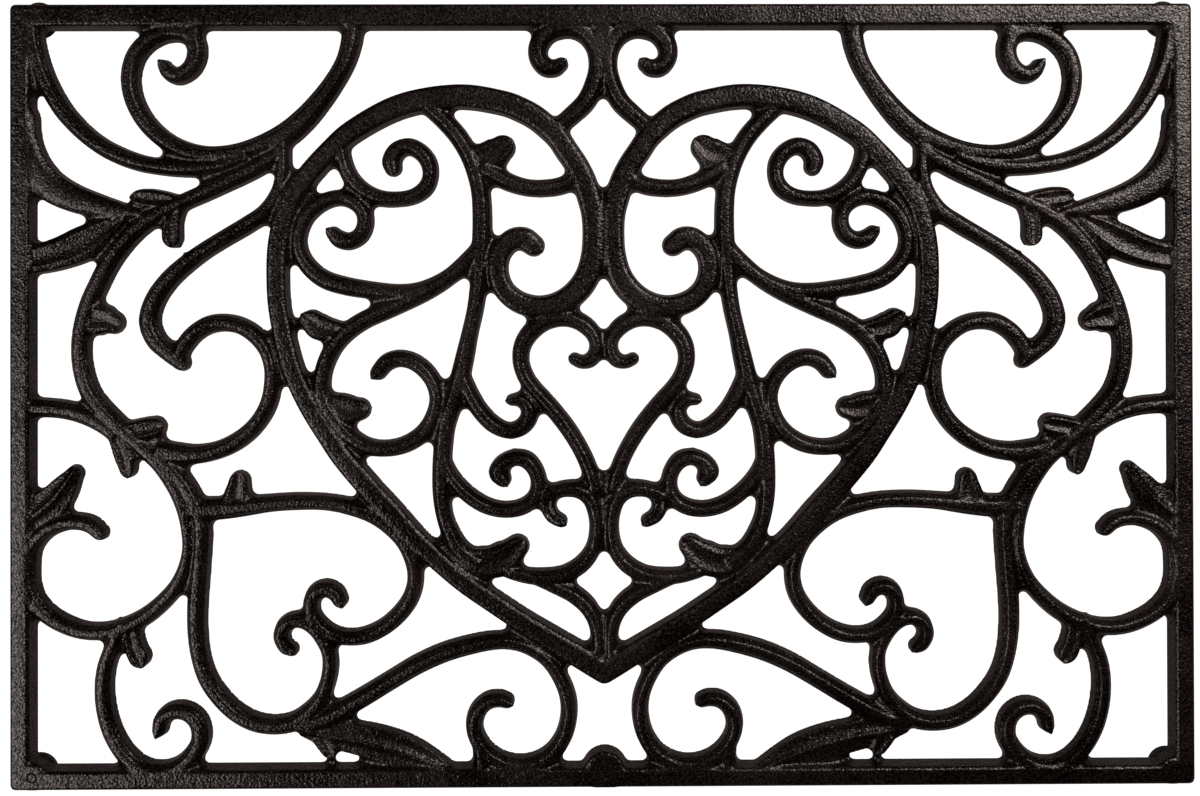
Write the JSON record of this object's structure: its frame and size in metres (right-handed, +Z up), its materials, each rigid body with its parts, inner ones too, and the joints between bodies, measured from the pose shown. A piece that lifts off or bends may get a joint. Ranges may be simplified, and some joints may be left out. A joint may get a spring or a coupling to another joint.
{
  "type": "cast iron door mat",
  "caption": "Oblong cast iron door mat: an openwork heart of scrolls, vines and leaves in a plain rail frame, on small round feet.",
  "frame": {"origin": "on the floor, under the middle of the mat", "axes": "+X along the long rails, +Y from the heart's point towards its lobes, +Z up off the floor"},
  "size_m": [0.6, 0.4008, 0.013],
  "materials": {
    "painted_cast_iron": "as-cast grain under glossy black-brown paint",
    "foot_rubber": "matt",
    "screw_steel": "dark, dull"
  },
  "bodies": {
    "root": {"top_rail": "painted_cast_iron", "bottom_rail": "painted_cast_iron", "heart_left": "painted_cast_iron", "heart_right": "painted_cast_iron", "cleft_scroll_left": "painted_cast_iron", "cleft_scroll_right": "painted_cast_iron", "corner_scroll_left": "painted_cast_iron", "corner_scroll_right": "painted_cast_iron", "lobe_stem_left": "painted_cast_iron", "lobe_stem_right": "painted_cast_iron", "inner_scroll_left": "painted_cast_iron", "inner_scroll_right": "painted_cast_iron", "lobe_hook_left": "painted_cast_iron", "lobe_hook_right": "painted_cast_iron", "lobe_spiral_left": "painted_cast_iron", "lobe_spiral_right": "painted_cast_iron", "lower_scroll_left": "painted_cast_iron", "lower_scroll_right": "painted_cast_iron", "centre_scroll_left": "painted_cast_iron", "centre_scroll_right": "painted_cast_iron", "centre_heart_left": "painted_cast_iron", "centre_heart_right": "painted_cast_iron", "stem_scroll_left": "painted_cast_iron", "stem_scroll_right": "painted_cast_iron", "upper_vine_left": "painted_cast_iron", "upper_vine_right": "painted_cast_iron", "corner_fern_left": "painted_cast_iron", "corner_fern_right": "painted_cast_iron", "corner_leaf_left": "painted_cast_iron", "corner_leaf_right": "painted_cast_iron", "rail_stalk_left": "painted_cast_iron", "rail_stalk_right": "painted_cast_iron", "side_stem_left": "painted_cast_iron", "side_stem_right": "painted_cast_iron", "side_leaf_left": "painted_cast_iron", "side_leaf_right": "painted_cast_iron", "hook_scroll_left": "painted_cast_iron", "hook_scroll_right": "painted_cast_iron", "return_scroll_left": "painted_cast_iron", "return_scroll_right": "painted_cast_iron", "stem_loop_left": "painted_cast_iron", "stem_loop_right": "painted_cast_iron", "lower_loop_left": "painted_cast_iron", "lower_loop_right": "painted_cast_iron", "tail_scroll_left": "painted_cast_iron", "tail_scroll_right": "painted_cast_iron", "tail_leaf_left": "painted_cast_iron", "tail_leaf_right": "painted_cast_iron", "corner_spiral_left": "painted_cast_iron", "corner_spiral_right": "painted_cast_iron", "side_rail_left": "painted_cast_iron", "side_rail_right": "painted_cast_iron", "foot_back_left": "foot_rubber", "foot_back_right": "foot_rubber", "foot_front_left": "foot_rubber", "foot_front_right": "foot_rubber", "foot_screw_back_left": "screw_steel", "foot_screw_back_right": "screw_steel", "foot_screw_front_left": "screw_steel", "foot_screw_front_right": "screw_steel"}
  },
  "joints": []
}
